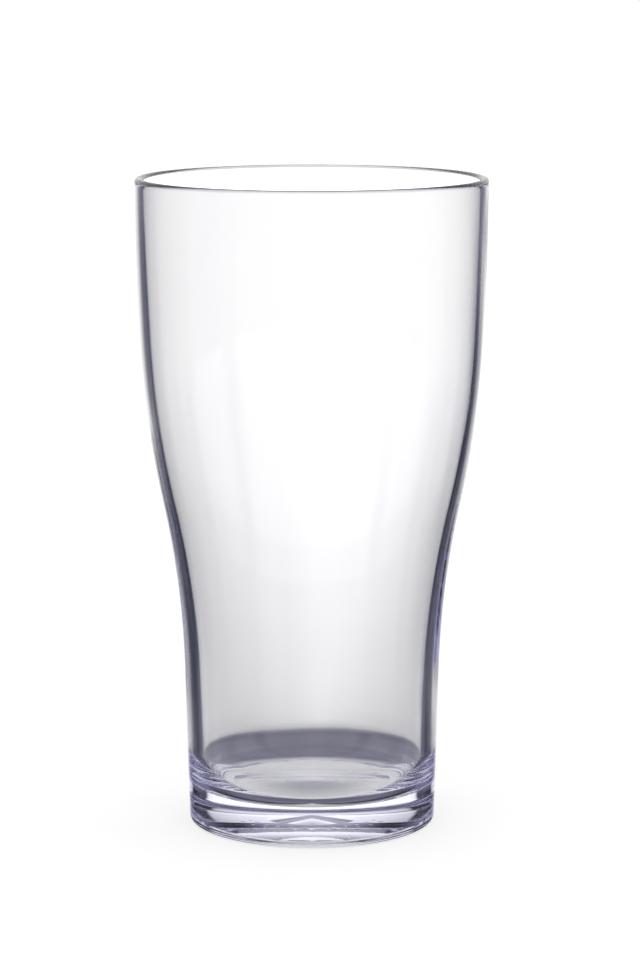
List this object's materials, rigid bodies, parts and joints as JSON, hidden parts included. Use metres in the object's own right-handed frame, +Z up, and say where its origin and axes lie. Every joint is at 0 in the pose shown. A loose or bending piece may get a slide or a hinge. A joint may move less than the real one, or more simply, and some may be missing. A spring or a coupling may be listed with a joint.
{
  "type": "pint glass",
  "caption": "Clear plastic pint glass: straight foot with a thick solid base, flared waist, near-upright drinking wall and rounded lip, moulded in one piece.",
  "frame": {"origin": "centre of the foot, on the surface that the glass stands on", "axes": "+Z up along the glass's axis of revolution; X and Y are alike because the glass is round"},
  "size_m": [0.0864, 0.0864, 0.1605],
  "materials": {
    "clear_plastic": "clear, polished, with a faint blue-violet tint in the thick base"
  },
  "bodies": {
    "root": {"glass": "clear_plastic"}
  },
  "joints": []
}
